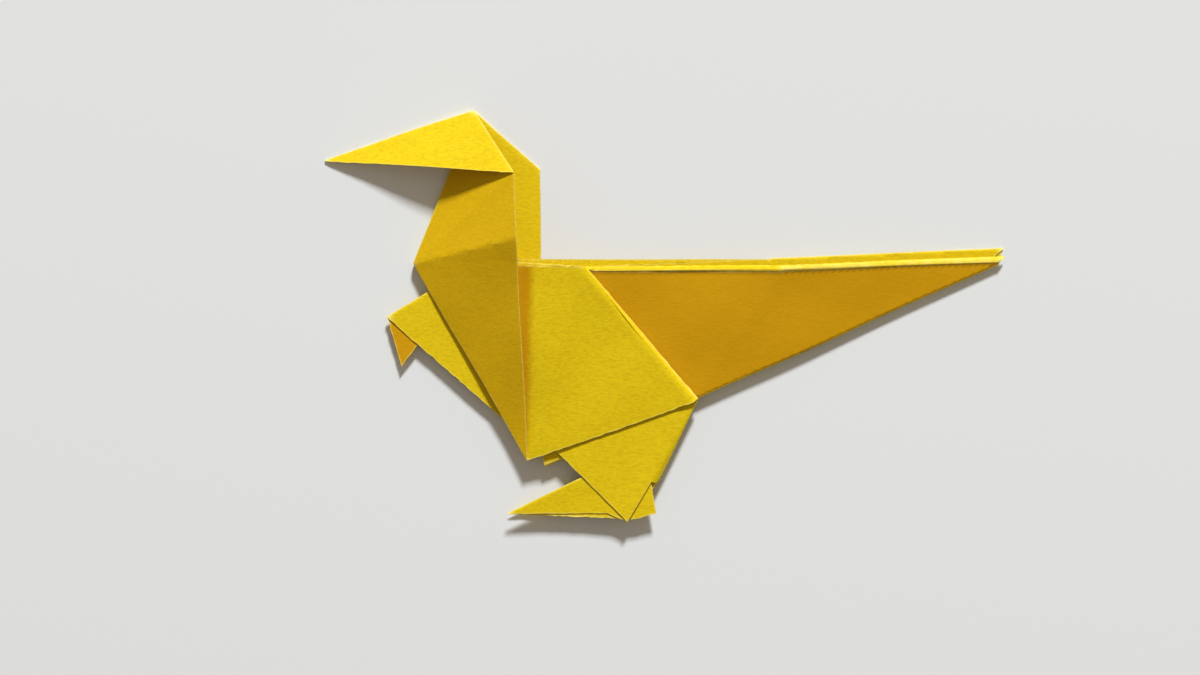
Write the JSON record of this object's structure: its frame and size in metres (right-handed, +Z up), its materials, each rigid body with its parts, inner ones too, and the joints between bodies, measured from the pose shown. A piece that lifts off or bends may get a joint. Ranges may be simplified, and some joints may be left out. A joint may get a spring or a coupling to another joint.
{
  "type": "origami dinosaur",
  "caption": "Folded paper dinosaur with a long pointed tail, a beaked head, short arms and a bent leg, made from one square sheet and lying flat on its side.",
  "frame": {"origin": "centre of the bounding box's base, on the plane the model lies on", "axes": "+X towards the tail tip, +Y towards the crown of the head, +Z up out of the side that faces the viewer"},
  "size_m": [0.1574, 0.0952, 0.0113],
  "materials": {
    "yellow paper": "matte"
  },
  "bodies": {
    "root": {"folded_sheet": "yellow paper"}
  },
  "joints": []
}
